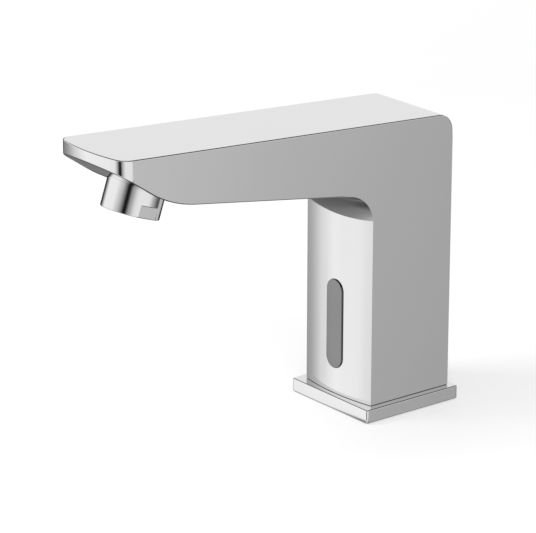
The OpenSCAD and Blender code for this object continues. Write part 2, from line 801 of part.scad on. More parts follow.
// Base
module base_plate() {
    half = plate_w / 2;
    color([0.83, 0.84, 0.85]) difference() {
        linear_extrude(plate_t) rounded_box(-half, half, -half, half, plate_edge_r);
        disc(plate_hole_r, -cut, plate_t + cut);
        difference() {
            block(-seal_out, seal_out, -seal_out, seal_out, -cut, deck_seal_t);
            block(-seal_in, seal_in, -seal_in, seal_in, -2 * cut, deck_seal_t + cut);
        }
        for (p = boss_places) translate([p.x, p.y, 0]) {
            disc(m4_r + fit_gap, -cut, plate_t + cut);
            disc(m4_head_r + fit_gap, -cut, m4_head_z + fit_gap);
            translate([0, 0, m4_head_z + fit_gap])
                cylinder(r1 = m4_head_r + fit_gap, r2 = m4_r + fit_gap, h = m4_head_h);
        }
    }
}

module deck_seal() {
    color([0.12, 0.12, 0.12]) difference() {
        block(-seal_out, seal_out, -seal_out, seal_out, 0, deck_seal_t);
        block(-seal_in, seal_in, -seal_in, seal_in, -cut, deck_seal_t + cut);
    }
}

module foot_gasket() {
    color([0.12, 0.12, 0.12]) translate([0, 0, plate_t]) linear_extrude(foot_gasket_t) difference() {
        bowed_plan(half_w - foot_inset, col_back - foot_inset, front_bow_y, front_bow_r - foot_inset, 0);
        translate([-cav_x, cav_front]) square([2 * cav_x, cav_back - cav_front]);
    }
}

module body_screws() {
    color([0.7, 0.7, 0.72]) for (p = boss_places) translate([p.x, p.y, 0]) difference() {
        union() {
            translate([0, 0, m4_head_z]) cylinder(r1 = m4_head_r, r2 = m4_r, h = m4_head_h);
            disc(m4_r, m4_head_z + m4_head_h, m4_head_z + m4_l);
        }
        disc(drive_r, m4_head_z - cut, m4_head_z + drive_d);
    }
}

// Manifold, with the main valve's seat
module manifold() {
    flange_x = cav_x - slide_gap;
    color([0.78, 0.62, 0.32]) difference() {
        union() {
            difference() {
                union() {
                    disc(plate_hole_r - slide_gap, spigot_z, flange_z);
                    block(-flange_x, flange_x, cav_front + slide_gap, cav_back - slide_gap,
                          plate_t, flange_z);
                    translate([valve_x, neck_y, 0]) disc(neck_r, plate_t, neck_z + channel_floor);
                    at_valve() {
                        translate([0, 0, neck_z]) linear_extrude(block_h)
                            rounded_box(-block_half, block_half, -block_half, block_half, block_corner_r);
                        rotate([0, 0, channel_angle])
                            block(0, channel_l, -bridge_half, bridge_half, neck_z, block_z - seat_drop);
                    }
                    at_tube() disc(socket_r, neck_z, block_z);
                }
                at_valve() disc(chamber_r, chamber_z, block_z + cut);
            }
            at_valve() disc(seat_outer_r, chamber_z - cut, seat_z);
        }
        at_valve() {
            disc(seat_bore_r, sump_z, block_z + cut);
            translate([0, 0, channel_z]) rotate([0, 0, channel_angle]) rotate([0, 90, 0])
                cylinder(r = channel_r, h = channel_l);
        }
        at_tube() {
            disc(tube_in_r, sump_z, block_z);
            disc(tube_r + run_gap, low_socket_z, block_z + cut);
            disc(ring_groove_r, low_ring_z - ring_groove_h / 2, low_ring_z + ring_groove_h / 2);
        }
        at_inlet() {
            disc(inlet_r, spigot_z - cut, spigot_z + inlet_depth);
            disc(check_r + run_gap, spigot_z, check_z + check_l + fit_gap);
            disc(inlet_port_r, check_z + check_l, chamber_z + cut);
        }
        for (s = [-1, 1]) translate([s * stud_x, -s * stud_y, 0])
            disc(stud_r, spigot_z - cut, spigot_z + stud_depth);
        for (p = boss_places) translate([p.x, p.y, 0]) disc(m4_r + fit_gap, plate_t - cut, flange_z + cut);
        at_valve_screws() disc(m3_r + thread_gap, bonnet_top_z - valve_screw_l - part_gap, block_z + cut);
    }
}

module inlet_filter() {
    color([0.75, 0.76, 0.78]) at_inlet() difference() {
        disc(check_r, filter_z, filter_z + filter_t);
        hole_rings(filter_rings, filter_ring_step, filter_hole_r, filter_z - cut, filter_z + filter_t + cut);
    }
}

module check_valve_body() {
    color([0.92, 0.92, 0.9]) at_inlet() difference() {
        disc(check_r, check_z, check_z + check_l);
        disc(check_hole_r, check_z - cut, check_z + check_l / 2);
        disc(check_in_r, check_z + check_end_t, spider_z);
        disc(poppet_stem_r + run_gap, spider_z - cut, check_z + check_l + cut);
        for (k = [1:spider_holes]) rotate([0, 0, 360 * k / spider_holes]) translate([spider_ring_r, 0, 0])
            disc(spider_hole_r, spider_z - cut, check_z + check_l + cut);
    }
}

module check_valve_poppet() {
    seat = check_z + check_end_t;
    color([0.2, 0.35, 0.6]) at_inlet() {
        disc(poppet_r, seat, seat + poppet_t);
        disc(poppet_stem_r, seat, spider_z + cut);
    }
}

module check_valve_spring() {
    color([0.6, 0.6, 0.62]) at_inlet()
        helix(check_spring_r, spring_wire_r, check_z + check_end_t + poppet_t, spider_z, check_spring_turns);
}

// Main valve
module diaphragm() {
    web_z = block_z + (rim_t - web_t) / 2;
    color([0.1, 0.1, 0.1]) at_valve() difference() {
        union() {
            ring(rim_r, chamber_r, block_z, bonnet_z);
            disc(chamber_r + cut, web_z, web_z + web_t);
            disc(web_r, seat_z, bonnet_z);
        }
        disc(pilot_bore_r, seat_z - cut, bonnet_z + cut);
    }
}

module diaphragm_plate() {
    color([0.92, 0.92, 0.9]) at_valve() difference() {
        union() {
            disc(disc_r, bonnet_z, bonnet_z + disc_t);
            disc(pilot_seat_r, bonnet_z, pilot_z);
        }
        disc(pilot_bore_r, bonnet_z - cut, pilot_z + cut);
    }
}

module valve_bonnet() {
    roof_z = core_flange_z + core_flange_t;
    color([0.25, 0.26, 0.28]) difference() {
        at_valve() difference() {
            translate([0, 0, block_z]) linear_extrude(bonnet_top_z - block_z)
                rounded_box(-block_half, block_half, -block_half, block_half, block_corner_r);
            disc(rim_r + run_gap, block_z - cut, bonnet_z);
            disc(chamber_r, block_z, roof_z);
            disc(core_out_r + fit_gap, block_z, bonnet_top_z + cut);
            ring(core_ring_r + ring_r + run_gap, core_ring_r - ring_r - run_gap,
                 roof_z - cut, roof_z + 2 * ring_r);
        }
        at_valve_screws() disc(m3_r + fit_gap, block_z - cut, bonnet_top_z + cut);
    }
}

module screw_head_down(l) {
    difference() {
        union() {
            disc(m3_head_r, 0, m3_head_h);
            disc(m3_r, -l, 0);
        }
        disc(drive_r, m3_head_h - drive_d, m3_head_h + cut);
    }
}

module valve_screws() {
    color([0.7, 0.7, 0.72]) at_valve_screws() translate([0, 0, bonnet_top_z]) screw_head_down(valve_screw_l);
}

// Solenoid
module core_tube() {
    color([0.72, 0.73, 0.75]) at_valve() difference() {
        union() {
            disc(chamber_r - fit_gap, core_flange_z, core_flange_z + core_flange_t);
            disc(core_out_r, core_flange_z, core_top_z);
        }
        disc(core_in_r, core_flange_z - cut, core_top_z + cut);
    }
}

module o_ring(r, section) {
    rotate_extrude() translate([r, 0]) circle(r = section);
}

module core_tube_seal() {
    color([0.1, 0.1, 0.1]) at_valve() translate([0, 0, core_flange_z + core_flange_t + ring_r])
        o_ring(core_ring_r, ring_r);
}

module fixed_core() {
    color([0.6, 0.61, 0.63]) at_valve() {
        disc(armature_r, core_face_z, core_top_z);
        disc(core_out_r + core_cap_t, core_top_z, core_top_z + core_cap_t);
    }
}

module armature() {
    color([0.66, 0.67, 0.69]) at_valve() difference() {
        disc(armature_r, armature_z, armature_top_z);
        disc(pilot_seal_r + run_gap, armature_z - cut, armature_z - pilot_seal_proud + pilot_seal_t);
        disc(spring_recess_r, armature_top_z - spring_recess_d, armature_top_z + cut);
    }
}

module pilot_seal() {
    color([0.1, 0.1, 0.1]) at_valve() disc(pilot_seal_r, pilot_z, pilot_z + pilot_seal_t);
}

module armature_spring() {
    color([0.6, 0.6, 0.62]) at_valve()
        helix(armature_spring_r, spring_wire_r, armature_top_z - spring_recess_d, core_face_z,
              armature_spring_turns);
}

module coil_bobbin() {
    top = bobbin_z + bobbin_h;
    color([0.9, 0.88, 0.8]) at_valve() difference() {
        union() {
            disc(bobbin_hub_r, bobbin_z, top);
            disc(bobbin_r, bobbin_z, bobbin_z + bobbin_flange_t);
            disc(bobbin_r, top - bobbin_flange_t, top);
        }
        disc(bobbin_in_r, bobbin_z - cut, top + cut);
    }
}

module coil_winding() {
    color([0.75, 0.42, 0.2]) at_valve()
        ring(bobbin_r - part_gap, bobbin_hub_r + run_gap, bobbin_z + bobbin_flange_t,
             bobbin_z + bobbin_h - bobbin_flange_t);
}

module yoke_plate() {
    color([0.55, 0.56, 0.58]) at_valve() ring(can_r, core_out_r + run_gap, bonnet_top_z, bobbin_z);
}

module latch_magnet() {
    color([0.35, 0.35, 0.37]) at_valve() ring(magnet_r, bobbin_in_r, magnet_z, magnet_z + magnet_t);
}

module coil_can() {
    color([0.55, 0.56, 0.58]) at_valve() difference() {
        disc(can_r, bobbin_z, can_top_z);
        disc(can_r - can_t, bobbin_z - cut, can_roof_z);
        disc(core_out_r + run_gap, bobbin_z, can_top_z + cut);
    }
}

module coil_clip() {
    color([0.7, 0.7, 0.72]) at_valve() ring(clip_r, core_out_r + run_gap, can_top_z, can_top_z + clip_t);
}

// Outlet tube and its seals: a straight up the column, an elbow, and a straight along the spout
module tube_path(r, elbow_r, z0, run1) {
    bend_z = tube_corner_z - bend_reach;
    at_tube() {
        disc(r, z0, bend_z + cut);
        translate([0, -tube_bend_r, bend_z]) rotate([90, 0, 90])
            rotate_extrude(angle = tube_turn) translate([tube_bend_r, 0]) circle(r = elbow_r);
    }
    tube_straight(r, bend_reach * cos(tube_rise) - cut, run1);
}

module outlet_tube() {
    color([0.8, 0.55, 0.35]) difference() {
        tube_path(tube_r, tube_r + elbow_step, low_socket_z, tube_tip_run);
        tube_path(tube_in_r, tube_in_r - elbow_step, low_socket_z - cut, tube_tip_run + cut);
    }
}

module tube_seals() {
    color([0.1, 0.1, 0.1]) {
        at_tube() translate([0, 0, low_ring_z]) o_ring(tube_r + ring_r, ring_r - run_gap);
        at_tube() translate([0, -far_ring_run, tube_corner_z + far_ring_run * tan(tube_rise)])
            rotate([tube_turn, 0, 0]) o_ring(tube_r + ring_r, ring_r - run_gap);
    }
}

// Sensor unit
module sensor_lens() {
    color([0.16, 0.16, 0.17]) {
        intersection() {
            along_y(-front_mid - 2 * window_proud, gasket_y)
                translate([0, window_z]) stadium(window_w, window_h);
            translate([0, front_bow_y, 0]) disc(front_bow_r + window_proud, foot_z, window_z + window_h);
        }
        along_y(gasket_y, lens_back) translate([0, window_z])
            stadium(window_w + 2 * lens_flange, window_h + 2 * lens_flange);
    }
}

module lens_gasket() {
    color([0.12, 0.12, 0.12]) along_y(cav_front, gasket_y) translate([0, window_z]) difference() {
        stadium(window_w + 2 * lens_flange, window_h + 2 * lens_flange);
        stadium(window_w + 2 * fit_gap, window_h + 2 * fit_gap);
    }
}

module sensor_housing() {
    color([0.2, 0.2, 0.22]) difference() {
        union() {
            difference() {
                along_y(lens_back, housing_back) translate([0, window_z])
                    rounded_box(-housing_half, housing_half, -housing_half_z, housing_half_z,
                                housing_corner_r);
                block(-housing_in_x, housing_in_x, lens_back + lip_t, housing_back + cut,
                      window_z - housing_in_z, window_z + housing_in_z);
                along_y(lens_back - cut, lens_back + lip_t + cut) translate([0, window_z])
                    stadium(window_w + 2 * lip_edge, window_h + 2 * lip_edge);
            }
            for (x = [-post_x, post_x], z = [-post_z, post_z])
                rod_y(post_r, x, window_z + z, lens_back + lip_t / 2, board_front);
            for (p = ear_places) {
                near = sign(p.x) * (housing_half - housing_wall / 2);
                far = sign(p.x) * ear_end;
                block(min(near, far), max(near, far), ear_front, ear_back,
                      p[1] - ear_half_z, p[1] + ear_half_z);
            }
        }
        for (p = ear_places) rod_y(m3_r + fit_gap, p.x, p[1], ear_front - cut, ear_back + cut);
    }
}

module sensor_board() {
    x = housing_in_x - board_edge;
    z = housing_in_z - board_edge;
    color([0.1, 0.35, 0.18]) block(-x, x, board_front, board_back, window_z - z, window_z + z);
}

// A round infrared part that stands on the board and looks out through the window
module ir_part(z) {
    dome_r = (ir_r * ir_r + ir_dome_h * ir_dome_h) / (2 * ir_dome_h);
    translate([0, board_front, z]) rotate([90, 0, 0]) {
        disc(ir_flange_r, 0, ir_flange_t);
        disc(ir_r, 0, ir_body_h);
        intersection() {
            disc(ir_r, ir_body_h, ir_body_h + ir_dome_h);
            translate([0, 0, ir_body_h + ir_dome_h - dome_r]) sphere(r = dome_r);
        }
    }
}

module ir_emitter() {
    color([0.55, 0.6, 0.75]) ir_part(window_z + ir_pitch / 2);
}

module ir_receiver() {
    color([0.15, 0.13, 0.18]) ir_part(window_z - ir_pitch / 2);
}

module status_led() {
    color([0.8, 0.15, 0.12]) rod_y(led_r, 0, window_z, board_front - led_h, board_front);
}

module light_baffle() {
    in = baffle_half - baffle_wall;
    color([0.08, 0.08, 0.08]) difference() {
        block(-baffle_half, baffle_half, lens_back + run_gap, board_front,
              window_z - baffle_half, window_z + baffle_half);
        block(-in, in, lens_back - cut, board_front + cut, window_z - in, window_z + in);
    }
}

module control_chip() {
    color([0.08, 0.08, 0.09]) block(-chip_w / 2, chip_w / 2, board_back, board_back + chip_t,
                                    window_z - chip_w / 2, window_z + chip_w / 2);
}

module board_connector() {
    color([0.92, 0.92, 0.9]) block(-connector_w / 2, connector_w / 2, board_back, board_back + connector_d,
                                   connector_z - connector_h / 2, connector_z + connector_h / 2);
}

module sensor_cover() {
    color([0.2, 0.2, 0.22]) difference() {
        along_y(housing_back, cover_back) translate([0, window_z])
            rounded_box(-housing_half, housing_half, -housing_half_z, housing_half_z, housing_corner_r);
        block(-slot_w / 2, slot_w / 2, housing_back - cut, cover_back + cut,
              connector_z - slot_h / 2, lead_turn_z + slot_h / 2);
    }
}

module sensor_screws() {
    color([0.7, 0.7, 0.72]) for (p = ear_places)
        translate([p.x, ear_back, p[1]]) rotate([-90, 0, 0]) screw_head_down(sensor_screw_l);
}

// Battery
module battery_holder() {
    back = cav_back - slide_gap;
    color([0.15, 0.15, 0.16]) difference() {
        union() {
            difference() {
                union() {
                    block(-holder_half_x, holder_half_x, cradle_y, back, holder_z, holder_top_z);
                    block(-holder_half_x, holder_half_x, cell_y - shelf_d, back,
                          holder_z, holder_z + holder_wall);
                    block(-holder_half_x, holder_half_x, cell_y - shelf_d, back, holder_roof_z, holder_top_z);
                }
                for (x = [-cell_x, cell_x]) translate([x, cell_y, 0])
                    disc(cell_r + run_gap, holder_z + holder_wall, holder_roof_z);
            }
            block(-tab_half_x, tab_half_x, tab_back - tab_t, tab_back, holder_roof_z, tab_screw_z + lug_r);
        }
        for (x = [-tab_screw_x, tab_screw_x])
            rod_y(m3_r + fit_gap, x, tab_screw_z, tab_back - tab_t - cut, tab_back + cut);
    }
}

module battery_cells() {
    color([0.2, 0.35, 0.62]) for (x = [-cell_x, cell_x]) translate([x, cell_y, 0]) {
        disc(cell_r, cell_z, cell_top_z - nub_h);
        disc(nub_r, cell_z, cell_top_z);
    }
}

module battery_springs() {
    color([0.75, 0.76, 0.78]) for (x = [-cell_x, cell_x]) translate([x, cell_y, 0])
        helix(battery_spring_r, battery_spring_wire, holder_z + holder_wall, cell_z, battery_spring_turns);
}

module battery_strip() {
    x = cell_x + nub_r;
    color([0.75, 0.76, 0.78])
        block(-x, x, cell_y - strip_half_y, cell_y + strip_half_y, cell_top_z, cell_top_z + strip_t);
}

module battery_screws() {
    color([0.7, 0.7, 0.72]) for (x = [-tab_screw_x, tab_screw_x])
        translate([x, tab_back - tab_t, tab_screw_z]) rotate([90, 0, 0]) screw_head_down(battery_screw_l);
}

module battery_lead() {
    color([0.7, 0.1, 0.1]) wire(curve(battery_lead_points, lead_steps), lead_r, [1, 0, 0], lead_sides);
}

module coil_lead() {
    color([0.1, 0.1, 0.1]) wire(curve(coil_lead_points, lead_steps), lead_r, [1, 0, 0], lead_sides);
}

// Aerator
module aerator_shell() {
    color([0.83, 0.84, 0.85]) at_outlet() difference() {
        disc(aerator_r, 0, shell_l);
        disc(shell_in_r - lip_in, -cut, shell_l + cut);
        disc(shell_in_r, lip_h, shell_l + cut);
        for (s = [-1, 1]) translate([s * (key_flats + aerator_r) / 2, 0, (key_h - cut) / 2])
            cube([aerator_r, 2 * aerator_r, key_h + cut], center = true);
    }
}

module outlet_grid() {
    reach = insert_r - grid_rim;
    count = floor(reach / grid_pitch);
    color([0.9, 0.9, 0.9]) at_outlet() difference() {
        disc(insert_r, grid_h, grid_h + grid_t);
        for (i = [-count:count], j = [-count:count])
            if (norm([i, j]) * grid_pitch + grid_hole * sqrt(2) / 2 < shell_in_r - lip_in)
                translate([i * grid_pitch, j * grid_pitch, grid_h + grid_t / 2])
                    cube([grid_hole, grid_hole, grid_t + cut], center = true);
    }
}

module aerator_screens() {
    color([0.72, 0.73, 0.75]) at_outlet() for (i = [0:screen_count - 1]) difference() {
        disc(insert_r - fit_gap, screen_h + i * screen_pitch, screen_h + i * screen_pitch + screen_t);
        hole_rings(mesh_rings, mesh_ring_step, mesh_hole_r, screen_h + i * screen_pitch - cut,
                   screen_h + i * screen_pitch + screen_t + cut);
    }
}

module mixer_body() {
    floor_h = mixer_base_h + mixer_h - mixer_floor_t;
    color([0.85, 0.86, 0.88]) at_outlet() difference() {
        disc(insert_r - fit_gap, mixer_base_h, mixer_base_h + mixer_h);
        disc(insert_r - mixer_wall, mixer_base_h - cut, floor_h);
        hole_rings(2, mesh_ring_step, jet_r, floor_h - cut, mixer_base_h + mixer_h + cut);
    }
}

module flow_regulator() {
    color([0.25, 0.45, 0.7]) at_outlet() difference() {
        disc(regulator_r, regulator_h, regulator_h + regulator_t);
        hole_rings(2, mesh_ring_step, mesh_hole_r, regulator_h - cut, regulator_h + regulator_t + cut);
    }
}

module inlet_strainer() {
    color([0.9, 0.9, 0.9]) at_outlet() difference() {
        disc(insert_r, strainer_h, strainer_h + strainer_t);
        hole_rings(mesh_rings, mesh_ring_step, mesh_hole_r, strainer_h - cut, strainer_h + strainer_t + cut);
    }
}

module aerator_washer() {
    color([0.1, 0.1, 0.1]) at_outlet()
        ring(aerator_r - washer_edge, aerator_r - washer_w, shell_l, shell_l + washer_t);
}

body_shell();
base_plate();
deck_seal();
foot_gasket();
body_screws();
manifold();
inlet_filter();
check_valve_body();
check_valve_poppet();
check_valve_spring();
diaphragm();
diaphragm_plate();
valve_bonnet();
valve_screws();
core_tube();
core_tube_seal();
fixed_core();
armature();
pilot_seal();
armature_spring();
coil_bobbin();
coil_winding();
yoke_plate();
latch_magnet();
coil_can();
coil_clip();
outlet_tube();
tube_seals();
sensor_lens();
lens_gasket();
sensor_housing();
sensor_board();
ir_emitter();
ir_receiver();
status_led();
light_baffle();
control_chip();
board_connector();
sensor_cover();
sensor_screws();
battery_holder();
battery_cells();
battery_springs();
battery_strip();
battery_screws();
battery_lead();
coil_lead();
aerator_shell();
outlet_grid();
aerator_screens();
mixer_body();
flow_regulator();
inlet_strainer();
aerator_washer();
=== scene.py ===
"""Looks of the sensor tap: chrome, window, seals and hidden works, in a plain white studio."""
import json
import math

import bmesh
import bpy
from mathutils import Matrix, Vector

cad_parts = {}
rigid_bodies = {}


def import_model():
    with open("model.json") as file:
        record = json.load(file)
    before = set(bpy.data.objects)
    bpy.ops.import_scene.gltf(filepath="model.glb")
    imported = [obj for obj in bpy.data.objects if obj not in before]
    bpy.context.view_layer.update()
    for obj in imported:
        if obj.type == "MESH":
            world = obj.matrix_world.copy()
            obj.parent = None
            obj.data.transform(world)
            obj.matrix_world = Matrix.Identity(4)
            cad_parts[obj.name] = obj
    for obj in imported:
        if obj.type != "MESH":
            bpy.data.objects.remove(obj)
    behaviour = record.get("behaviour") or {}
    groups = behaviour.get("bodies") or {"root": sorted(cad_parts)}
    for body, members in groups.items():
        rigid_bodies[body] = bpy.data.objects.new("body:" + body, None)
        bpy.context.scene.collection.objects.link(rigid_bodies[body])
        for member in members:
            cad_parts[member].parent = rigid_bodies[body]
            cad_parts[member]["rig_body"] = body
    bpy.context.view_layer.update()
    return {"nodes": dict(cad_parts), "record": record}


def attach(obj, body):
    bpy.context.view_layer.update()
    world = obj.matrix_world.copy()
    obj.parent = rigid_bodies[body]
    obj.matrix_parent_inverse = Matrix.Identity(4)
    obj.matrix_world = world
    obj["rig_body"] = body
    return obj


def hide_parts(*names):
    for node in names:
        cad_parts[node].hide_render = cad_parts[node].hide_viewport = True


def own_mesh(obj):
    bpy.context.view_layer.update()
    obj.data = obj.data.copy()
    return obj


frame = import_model()
NODES = frame["nodes"]
SLOT_OF = {p["node"]: p["material_slot"] for p in frame["record"]["subparts"]}


# Camera, fitted to the photograph's edges: angles in radians, lengths in metres
AZIMUTH, ELEVATION, ROLL = (math.radians(a) for a in (51.965, 18.608, 0.123))
DISTANCE = 1.348338
SHIFT_LEFT = 0.045605
SHIFT_UP = 0.054634
SIGHT_LIMIT = 50
FOCAL_PIXELS = 3149.57
PHOTO_WIDTH_PIXELS = 536
SENSOR_WIDTH_MM = 36

side = Vector((math.cos(AZIMUTH), math.sin(AZIMUTH), 0))
back = Vector((math.sin(AZIMUTH) * math.cos(ELEVATION), -math.cos(AZIMUTH) * math.cos(ELEVATION),
               math.sin(ELEVATION)))
up = back.cross(side)
cam_x = math.cos(ROLL) * side + math.sin(ROLL) * up
cam_y = math.cos(ROLL) * up - math.sin(ROLL) * side
cam = bpy.data.objects.new("camera", bpy.data.cameras.new("camera"))
cam.data.sensor_fit = "HORIZONTAL"
cam.data.sensor_width = SENSOR_WIDTH_MM
cam.data.lens = FOCAL_PIXELS / PHOTO_WIDTH_PIXELS * SENSOR_WIDTH_MM
cam.data.clip_end = SIGHT_LIMIT
cam.location = back * DISTANCE - cam_x * SHIFT_LEFT + cam_y * SHIFT_UP
cam.rotation_euler = Matrix((cam_x, cam_y, back)).transposed().to_euler()
bpy.context.scene.collection.objects.link(cam)
bpy.context.scene.camera = cam
bpy.context.scene.view_settings.view_transform = "Standard"


# Node trees
NOISE_SPAN = (0.3, 0.7)  # the noise values that nearly all of a surface lies between


class Nodes:
    """A node tree in the making: links are written as calls."""

    def __init__(self, tree):
        self.tree = tree

    def node(self, kind, inputs=None, **props):
        made = self.tree.nodes.new("ShaderNode" + kind)
        for name, value in props.items():
            setattr(made, name, value)
        for name, value in (inputs or {}).items():
            if isinstance(value, bpy.types.NodeSocket):
                self.tree.links.new(value, made.inputs[name])
            else:
                made.inputs[name].default_value = value
        return made

    def math(self, operation, *values):
        """One step of arithmetic on sockets and numbers"""
        return self.node("Math", dict(enumerate(values)), operation=operation).outputs[0]

    def coords(self):
        return self.node("TexCoord").outputs["Object"]

    def noise(self, scale, detail=3.0, vector=None):
        inputs = {"Vector": vector or self.coords(), "Scale": scale, "Detail": detail}
        return self.node("TexNoise", inputs).outputs["Fac"]

    def ramp(self, share, stops):
        made = self.node("ValToRGB", {"Fac": share})
        elements = made.color_ramp.elements
        while len(elements) < len(stops):
            elements.new(0.5)
        for element, (position, colour) in zip(elements, stops):
            element.position = position
            element.color = (*colour, 1)
        return made.outputs["Color"]

    def spread(self, value, low, high, at=NOISE_SPAN):
        """low to high, as the value goes through the span named by at"""
        inputs = {"Value": value, "From Min": at[0], "From Max": at[1], "To Min": low, "To Max": high}
        return self.node("MapRange", inputs).outputs["Result"]

    def mottled(self, noise, dark, light):
        return self.ramp(noise, list(zip(NOISE_SPAN, (dark, light))))

    def blend(self, share, first, second):
        return self.node("Mix", {0: share, 6: first, 7: second}, data_type="RGBA").outputs[2]

    def bump(self, height, strength, distance):
        inputs = {"Height": height, "Strength": strength, "Distance": distance}
        return self.node("Bump", inputs).outputs[0]

    def looked_at(self):
        """1 where the camera or a mirror looks, and 0 for the light that the surface gives"""
        path = self.node("LightPath")
        seen = path.outputs["Is Camera Ray"]
        for ray in ("Is Glossy Ray", "Is Transmission Ray"):
            seen = self.math("MAXIMUM", seen, path.outputs[ray])
        return seen


class Material(Nodes):
    """A node material in the making"""

    def __init__(self, name):
        self.material = bpy.data.materials.new(name)
        self.material.use_nodes = True
        super().__init__(self.material.node_tree)
        self.tree.nodes.clear()
        self.output = self.node("OutputMaterial")

    def surfaced(self, shader):
        """The material, with this shader node as its surface"""
        self.tree.links.new(shader.outputs[0], self.output.inputs["Surface"])
        return self.material

    def principled(self, **inputs):
        return self.surfaced(self.node("BsdfPrincipled", {k.replace("_", " "): v for k, v in inputs.items()}))


# Materials: noise scales are per metre, bump heights in metres
METAL_GRAIN = 400.0
METAL_BUMP = 0.0002
METAL_FINER = 3  # how much finer the roughness varies than the colour
PLASTIC_MOTTLE = 80.0
PLASTIC_GRAIN = 1500.0
PLASTIC_FINER = 2
FINE_BUMP = 0.0001
BRUSHED_DETAIL = 4.0
BRUSHED_ROUGH = (0.22, 0.38)
BRUSHED_STRENGTH = 0.2
GREEN_SHARE = 0.4  # of what a cool grey has more of blue than of red
CHROME_GREYS = (0.785, 0.805)
CHROME_BLUE = 0.002
WINDOW_GREYS = (0.25, 0.27)
WINDOW_MOTTLE = 30.0
WINDOW_ROUGH = (0.08, 0.12)
# The window's edge is painted with shade: a dark grey that takes over as the face turns away from the front
WINDOW_EDGE_SHADE = (0.1, 0.1, 0.103)
WINDOW_TURN = (-0.75, -0.92)  # the normal's Y from which the front's colour takes over from the edge's


def grey(level, blue=0.0):
    return (level, level + blue * GREEN_SHARE, level + blue)


def metal(name, dark, light, rough, scale, bump=0.0):
    m = Material(name)
    inputs = dict(Base_Color=m.mottled(m.noise(scale), dark, light), Metallic=1.0,
                  Roughness=m.spread(m.noise(scale * METAL_FINER), *rough))
    if bump:
        inputs["Normal"] = m.bump(m.noise(METAL_GRAIN), bump, METAL_BUMP)
    return m.principled(**inputs)


def plastic(name, dark, light, rough=(0.35, 0.5), bump=0.15, coat=0.0):
    m = Material(name)
    return m.principled(
        Base_Color=m.mottled(m.noise(PLASTIC_MOTTLE), dark, light), Coat_Weight=coat,
        Roughness=m.spread(m.noise(PLASTIC_MOTTLE * PLASTIC_FINER), *rough),
        Normal=m.bump(m.noise(PLASTIC_GRAIN), bump, FINE_BUMP))


def brushed(name, dark, light, axis_scale=(40, 40, 900)):
    """Steel with fine lines, stretched along the axes of low scale"""
    m = Material(name)
    stretched = m.node("Mapping", {"Vector": m.coords(), "Scale": axis_scale}).outputs[0]
    lines = m.noise(1.0, BRUSHED_DETAIL, stretched)
    return m.principled(
        Base_Color=m.mottled(lines, dark, light), Metallic=1.0, Roughness=m.spread(lines, *BRUSHED_ROUGH),
        Normal=m.bump(lines, BRUSHED_STRENGTH, FINE_BUMP))


def infrared_window(name):
    """Coated glass that mirrors a little, with painted shade on its edge where the face turns away from the
    front
    """
    m = Material(name)
    # painted shade: the colour darkens by the normal's Y, towards the edges that turn from the front
    facing = m.node("SeparateXYZ", {0: m.node("TexCoord").outputs["Normal"]}).outputs["Y"]
    front = m.spread(facing, 0, 1, at=WINDOW_TURN)
    coated = m.mottled(m.noise(WINDOW_MOTTLE), *(grey(g) for g in WINDOW_GREYS))
    return m.principled(Base_Color=m.blend(front, (*WINDOW_EDGE_SHADE, 1), coated), Metallic=1.0,
                        Roughness=m.spread(m.noise(WINDOW_MOTTLE * METAL_FINER), *WINDOW_ROUGH))


MATERIALS = {
    "chrome": metal("chrome", *(grey(g, CHROME_BLUE) for g in CHROME_GREYS), rough=(0.02, 0.035), scale=14.0),
    "seal_rubber": plastic("rubber", grey(0.018), grey(0.035), rough=(0.6, 0.8), bump=0.3),
    "stainless": brushed("stainless", grey(0.50), grey(0.64)),
    "magnetic_steel": brushed("magnetic_steel", grey(0.42), grey(0.55), axis_scale=(900, 900, 60)),
    "coil_steel": metal("coil_steel", (0.36, 0.38, 0.40), (0.50, 0.51, 0.50), rough=(0.3, 0.45),
                        scale=90.0, bump=0.2),
    "magnet": metal("magnet", grey(0.22), grey(0.30), rough=(0.25, 0.4), scale=120.0),
    "contact_metal": metal("contact_metal", grey(0.6), grey(0.72), rough=(0.15, 0.25), scale=100.0),
    "manifold_brass": metal("manifold_brass", (0.58, 0.42, 0.16), (0.74, 0.57, 0.27), rough=(0.22, 0.36),
                            scale=70.0, bump=0.15),
    "copper": metal("copper", (0.62, 0.30, 0.14), (0.78, 0.44, 0.26), rough=(0.2, 0.35), scale=90.0,
                    bump=0.1),
    "white_plastic": plastic("white_plastic", grey(0.72), grey(0.82)),
    "cream_plastic": plastic("cream_plastic", (0.72, 0.66, 0.50), (0.80, 0.75, 0.60)),
    "blue_plastic": plastic("blue_plastic", (0.05, 0.14, 0.36), (0.08, 0.20, 0.46)),
    "grey_plastic": plastic("grey_plastic", grey(0.40, 0.02), grey(0.50, 0.02)),
    "black_plastic": plastic("black_plastic", grey(0.02), grey(0.04), rough=(0.45, 0.6), bump=0.4),
    "infrared_window": infrared_window("infrared_window"),
    "board_green": plastic("board_green", (0.01, 0.13, 0.05), (0.02, 0.20, 0.08), rough=(0.25, 0.35),
                           bump=0.05),
    "emitter_clear": plastic("emitter_clear", (0.30, 0.34, 0.45), (0.40, 0.45, 0.58), rough=(0.05, 0.1),
                             bump=0.01, coat=0.8),
    "receiver_dark": plastic("receiver_dark", (0.015, 0.01, 0.025), (0.03, 0.02, 0.04), rough=(0.05, 0.1),
                             bump=0.01, coat=0.8),
    "red_led": plastic("red_led", (0.45, 0.02, 0.02), (0.6, 0.04, 0.03), rough=(0.1, 0.15), bump=0.01,
                       coat=0.8),
    "cell_sleeve": plastic("cell_sleeve", (0.03, 0.09, 0.30), (0.05, 0.13, 0.40), rough=(0.2, 0.3),
                           bump=0.05, coat=0.3),
    "red_lead": plastic("red_lead", (0.35, 0.01, 0.01), (0.48, 0.02, 0.02), rough=(0.3, 0.4), bump=0.05),
    "black_lead": plastic("black_lead", grey(0.012), grey(0.025), rough=(0.3, 0.4), bump=0.05)}
